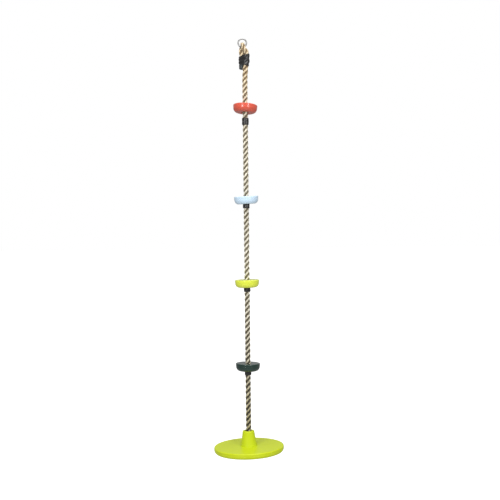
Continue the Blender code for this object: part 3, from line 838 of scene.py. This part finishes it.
def cappedEnd(name, centreAt, top, foot, radius, rounding, tuck=0.0):
    # a taped rope end: closed at both ends, rounded at the foot, slimmer where it is tucked in
    around, layers, lap = tape["around"], tape["layers"], tape["lap"]
    rows = [(top, radius * 0.4), (top, radius * 0.97), (top - 2 * lap, radius)]
    for i in range(1, layers):
        z = top + (foot + rounding - top) * i / layers
        rows.append((z + lap, radius * 1.012))    # each turn of tape laps the last
        rows.append((z - lap, radius * 0.99))
    for i in range(9):
        angle = math.pi / 2 * i / 8
        rows.append((foot + rounding - rounding * math.sin(angle),
                     radius * (0.35 + 0.65 * math.cos(angle))))
    verts, faces = [], []
    for z, size in rows:
        centre = centreAt(z)
        for j in range(around):
            angle = math.tau * j / around
            held = tape["tuckedShare"] if z > top - tuck else 1.0
            ridge = size * held - tape["ridge"] * (1 - lobe(angle, z))
            verts.append((centre[0] + ridge * math.cos(angle),
                          centre[1] + ridge * math.sin(angle), z))
    for i in range(len(rows) - 1):
        for j in range(around):
            k = (j + 1) % around
            faces.append((i * around + j, (i + 1) * around + j, (i + 1) * around + k,
                          i * around + k))
    faces.append(tuple(range(around)))
    faces.append(tuple(reversed(range((len(rows) - 1) * around, len(rows) * around))))
    mesh = bpy.data.meshes.new(name)
    mesh.from_pydata(verts, [], faces)
    work = bmesh.new()
    work.from_mesh(mesh)
    bmesh.ops.recalc_face_normals(work, faces=work.faces)
    work.to_mesh(mesh)
    work.free()
    mesh.shade_smooth()
    mesh.set_sharp_from_angle(angle=math.radians(50))
    mesh.materials.append(slateLook)
    piece = bpy.data.objects.new(name, mesh)
    bpy.context.scene.collection.objects.link(piece)
    return piece


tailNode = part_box("tail_cap")
tailCap = cappedEnd("tailCap", lambda z: legsAt(max(z, sleeveFoot))[1], sleeveFoot + 0.019,
                    tailNode[0][2], rope["radius"] + 0.0008, 0.0065, tuck=0.0095)
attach(tailCap, "rope_top")
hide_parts("tail_cap")
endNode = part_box("rope_end_cap")
endCap = cappedEnd("ropeEndTape", lambda z: (rope["axisX"], 0.0), endNode[1][2],
                   endNode[0][2], rope["radius"], 0.0035)
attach(endCap, "span_5")
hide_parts("rope_end_cap")
print("climbing rope: sleeves and taped ends made")


# the stopper knot under the seat
def knotPiece():
    knot = {"strand": 0.0041, "middle": 0.0152, "weave": 0.0030, "halfHeight": 0.0125,
            "drop": 0.0183, "steps": 240}
    top = knotNode[1][2]
    centre = top - knot["drop"]
    route = []
    for i in range(knot["steps"]):
        t = math.tau * i / knot["steps"]
        reach = knot["middle"] + knot["weave"] * math.sin(8 * t)
        route.append(Vector((rope["axisX"] + reach * math.cos(3 * t), reach * math.sin(3 * t),
                             centre + knot["halfHeight"] * math.cos(4 * t), 1.0)))
    source = pathCurve("knotPath", route)
    source.data.splines[0].use_cyclic_u = True
    piece = runTree("endKnot", source, layTree, {
        "Strands": 1, "Strand Radius": knot["strand"], "Strand Offset": 0.0,
        "Pitch": rope["pitch"], "Yarns": rope["yarns"], "Yarn Relief": rope["yarnRelief"],
        "Yarn Pitch": rope["yarnPitch"], "Lay Start": 0.0, "Step": rope["step"], "Seed": 9,
        "Material": ropeLook})
    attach(piece, "span_5")
    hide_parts("end_knot")


knotPiece()


# foot discs
disc = {"radius": 0.0522, "height": 0.033, "nest": 0.012, "flat": 0.034, "shoulder": 0.019,
        "rimRound": 0.0032, "bore": 0.0138, "washer": 0.0020, "redLift": 0.032,
        "parting": 0.0002}
stopRadius = stops["radius"]
recessRadius = stopRadius + 0.0013
recessDepth = disc["nest"] + disc["washer"] + 2 * rope["gap"]
# the darkest colour of each disc is painted shade for its inner faces
discColours = {
    "red": {"colour": (0.64, 0.100, 0.058), "shade": (0.58, 0.080, 0.046),
            "paintedHollowShade": (0.30, 0.02, 0.015), "worn": (0.85, 0.30, 0.24), "lean": (-7.0, 4.0)},
    "blue": {"colour": (0.61, 0.77, 0.91), "shade": (0.57, 0.73, 0.89),
             "paintedHollowShade": (0.25, 0.42, 0.60), "worn": (0.75, 0.86, 0.95), "lean": (0.0, -2.7)},
    "lime": {"colour": (0.74, 0.82, 0.070), "shade": (0.69, 0.77, 0.060),
             "paintedHollowShade": (0.30, 0.38, 0.02), "worn": (0.82, 0.90, 0.35), "lean": (0.0, -1.0)},
    "dark_green": {"colour": (0.010, 0.036, 0.027), "shade": (0.007, 0.027, 0.021),
                   "paintedHollowShade": (0.006, 0.02, 0.015), "worn": (0.16, 0.20, 0.19),
                   "lean": (0.0, 1.0)},
}


def discOutline():
    height, radius, bevel = disc["height"], disc["radius"], disc["rimRound"]
    bore, paintedHollowShade = disc["bore"], 1.0
    side = radius - 0.0010
    outline = [(bore + 0.0014, height, 0.5, 0.2)]
    outline += spread((bore + 0.0014, height, 0.4, 0.0), (radius - bevel, height, 0.0, 0.0), 12)
    outline += arc(radius - bevel, height - bevel, bevel, bevel, 90, 0, 9, 0.9)
    line = disc["shoulder"] + 0.0042                  # where the two mould halves met
    for z, out, edge in ((line + 0.0012, 0, 0.1), (line + 0.0005, 0, 0.2), (line, 1, 0.5),
                         (line - 0.0005, 0, 0.2), (line - 0.0012, 0, 0.1)):
        part = (z - disc["shoulder"]) / (height - bevel - disc["shoulder"])
        outline.append((side + 0.0010 * part + out * disc["parting"], z, edge, 0.0))
    outline += arc(disc["flat"], disc["shoulder"], side - disc["flat"], disc["shoulder"],
                   0, -90, 26, 0.05)
    outline += spread((disc["flat"], 0.0, 0.0, 0.0), (recessRadius + 0.0012, 0.0, 0.0, 0.0), 6)
    outline += arc(recessRadius + 0.0012, 0.0012, 0.0012, 0.0012, -90, -180, 4, 0.5)
    # painted shade in the recess and the bore
    outline += [(recessRadius, recessDepth * 0.5, 0.0, 0.6),
                (recessRadius, recessDepth, 0.0, paintedHollowShade), (bore, recessDepth, 0.0, paintedHollowShade),
                (bore, (recessDepth + height) / 2, 0.0, 0.8), (bore, height - 0.0014, 0.3, 0.4)]
    return outline


def discPiece(number, colourName):
    look = dict(discColours[colourName])
    lean = look.pop("lean")
    look.update({"glow": 0.0, "coat": 0.30, "grain": 420.0, "wear": 0.22, "scuff": 0.20,
                 "rough": 0.22, "bump": 0.012, "shine": 0.40})
    finish = mouldedPlastic("disc" + colourName.title().replace("_", ""), look)
    slope = math.radians(math.hypot(*lean))
    lift = disc["redLift"] if number == 1 else 0.0
    under = (stops["bottoms"][number - 1] + stops["length"] - disc["nest"]
             + stopRadius * math.sin(slope) + lift)
    web = (recessDepth + disc["height"]) / 2
    place = leanPlace(under + web, lean) @ Matrix.Translation((0.0, 0.0, -web))
    piece = turnedShape("footDisc" + colourName.title().replace("_", ""), discOutline(), 144,
                        place, finish)
    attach(piece, f"disc_{number}")
    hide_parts(f"foot_disc_{colourName}")


for number, colourName in enumerate(discColours, 1):
    discPiece(number, colourName)
print("climbing rope: foot discs made")


# disc seat
seat = {"radius": 0.150, "thick": 0.025, "top": -1.747, "round": 0.0042, "cone": 0.0654,
        "coneTop": 0.0256, "coneFoot": 0.0355, "flare": 1.15, "coneWall": 0.0040,
        "coneTopWall": 0.0094, "coneRound": 0.0040,
        "underRound": (0.011, 0.0135), "bore": 0.0146, "lean": (0.0, -1.6)}
knotCentreZ = (knotNode[1][2] - 0.0247)


def coneRadius(height):
    share = min(1.0, max(0.0, height / (seat["cone"] - seat["coneRound"])))
    return seat["coneTop"] + (seat["coneFoot"] - seat["coneTop"]) * (1 - share) ** seat["flare"]


def seatOutline():
    radius, thick, bevel = seat["radius"], seat["thick"], seat["round"]
    ceiling = seat["cone"] - seat["coneTopWall"]
    outline = [(seat["bore"] + 0.0015, seat["cone"], 0.4, 0.2)]
    outline += arc(seat["coneTop"] - seat["coneRound"], seat["cone"] - seat["coneRound"],
                   seat["coneRound"], seat["coneRound"], 90, 0, 9, 0.6)
    for i in range(1, 29):
        height = (seat["cone"] - seat["coneRound"]) * (1 - i / 28)
        outline.append((coneRadius(height), height, 0.0, 0.0))
    outline += spread((coneRadius(0.0), 0.0, 0.0, 0.0), (radius - bevel, 0.0, 0.0, 0.0), 26)
    outline += arc(radius - bevel, -bevel, bevel, bevel, 90, 0, 10, 0.75)
    middle = -0.4 * thick
    for z, out, edge in ((middle + 0.0012, 0, 0.1), (middle + 0.0005, 0, 0.2), (middle, 1, 0.5),
                         (middle - 0.0005, 0, 0.2), (middle - 0.0012, 0, 0.1)):
        outline.append((radius - 0.0002 + out * 0.0002, z, edge, 0.0))
    underIn, underUp = seat["underRound"]
    outline += arc(radius - underIn, underUp - thick, underIn, underUp, 0, -90, 12, 0.35)
    mouth = seat["coneFoot"] - seat["coneWall"]
    outline += spread((radius - underIn, -thick, 0.0, 0.0), (mouth + 0.0015, -thick, 0.0, 0.0),
                      20)
    outline += [(mouth + 0.0015, -thick, 0.4, 0.1), (mouth, 0.0015 - thick, 0.4, 0.2)]
    # painted shade inside the cone, stronger further in
    for i in range(17):
        height = ceiling * i / 16
        outline.append((coneRadius(height) - seat["coneWall"], height, 0.0, 0.5 + i / 40))
    outline += [(seat["bore"], ceiling, 0.0, 1.0), (seat["bore"], seat["cone"] - 0.0015, 0.3, 0.4)]
    return outline


def seatPiece():
    # the darkest colour here is painted shade for the inner faces
    finish = mouldedPlastic("seatLime", {
        "colour": (0.60, 0.70, 0.010), "shade": (0.54, 0.64, 0.007), "paintedHollowShade": (0.20, 0.26, 0.01),
        "worn": (0.74, 0.80, 0.25), "glow": 0.0, "coat": 0.0, "grain": 500.0, "wear": 0.24,
        "scuff": 0.30, "rough": 0.38, "bump": 0.03, "shine": 0.30})
    place = leanPlace(knotCentreZ, seat["lean"]) @ Matrix.Translation(
        (0.0, 0.0, seat["top"] - knotCentreZ))
    piece = turnedShape("discSeat", seatOutline(), 200, place, finish)
    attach(piece, "seat")
    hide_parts("disc_seat")


seatPiece()
print("climbing rope: seat made")


# hidden hardware keeps its own shape
def dress(node, look):
    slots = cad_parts[node].material_slots
    for slot in slots:
        slot.material = look
    if not len(slots):
        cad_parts[node].data.materials.append(look)


for number in range(1, 5):
    dress(f"disc_washer_{number}", nylonLook)
    dress(f"stop_clamp_{number}", steelLook)
dress("seat_washer", steelLook)


# lights and floor
def softLight(name, settings):
    data = bpy.data.lights.new(name, "AREA")
    data.shape = "RECTANGLE"
    data.size, data.size_y = settings["size"]
    data.energy = settings["power"]
    data.color = settings.get("colour", (1.0, 1.0, 1.0))
    lamp = bpy.data.objects.new(name, data)
    bpy.context.scene.collection.objects.link(lamp)
    aim = Vector(settings["aim"]) - Vector(settings["place"])
    lamp.rotation_euler = aim.to_track_quat("-Z", "Y").to_euler()
    lamp.location = settings["place"]


def seenOrLit(tree, seen, lit):
    rays = addNode(tree, "ShaderNodeLightPath").outputs["Is Camera Ray"]
    return sums(tree, "MULTIPLY_ADD", rays, seen - lit, lit)


def whiteWorld(settings):
    world = bpy.data.worlds.new("white")
    bpy.context.scene.world = world
    world.use_nodes = True
    tree = world.node_tree
    tree.nodes["Background"].inputs["Color"].default_value = (1.0, 1.0, 1.0, 1.0)
    tree.links.new(seenOrLit(tree, settings["seen"], settings["lit"]),
                   tree.nodes["Background"].inputs["Strength"])


def paleFloor(settings):
    mesh = bpy.data.meshes.new("floor")
    half, height = settings["half"], settings["height"]
    mesh.from_pydata([(-half, -half, height), (half, -half, height), (half, half, height),
                      (-half, half, height)], [], [(0, 1, 2, 3)])
    floor = bpy.data.objects.new("floor", mesh)
    bpy.context.scene.collection.objects.link(floor)
    material, tree, shader, position = newMaterial("paleFloor", {
        "Base Color": (0.62, 0.62, 0.62, 1.0), "Roughness": 0.9,
        "Emission Color": (1.0, 1.0, 1.0, 1.0)})
    tree.links.new(seenOrLit(tree, settings["seen"], settings["lit"]),
                   shader.inputs["Emission Strength"])
    mesh.materials.append(material)


studio = {"world": {"seen": 1.0, "lit": 0.42},
          "floor": {"seen": 1.0, "lit": 0.0, "height": -2.35, "half": 40.0}}
bpy.context.scene.view_settings.view_transform = "Standard"
whiteWorld(studio["world"])
paleFloor(studio["floor"])
softLight("leftBox", {"place": (-1.5, -2.9, -0.05), "aim": (0.0, 0.0, -0.7), "size": (0.6, 1.3),
                      "power": 44.0})
softLight("rightBox", {"place": (1.6, -2.8, 0.05), "aim": (0.0, 0.0, -0.8), "size": (0.6, 1.3),
                       "power": 40.0})
softLight("topBox", {"place": (0.0, -0.6, 1.6), "aim": (0.0, 0.0, -1.0), "size": (2.0, 2.0),
                     "power": 58.0})
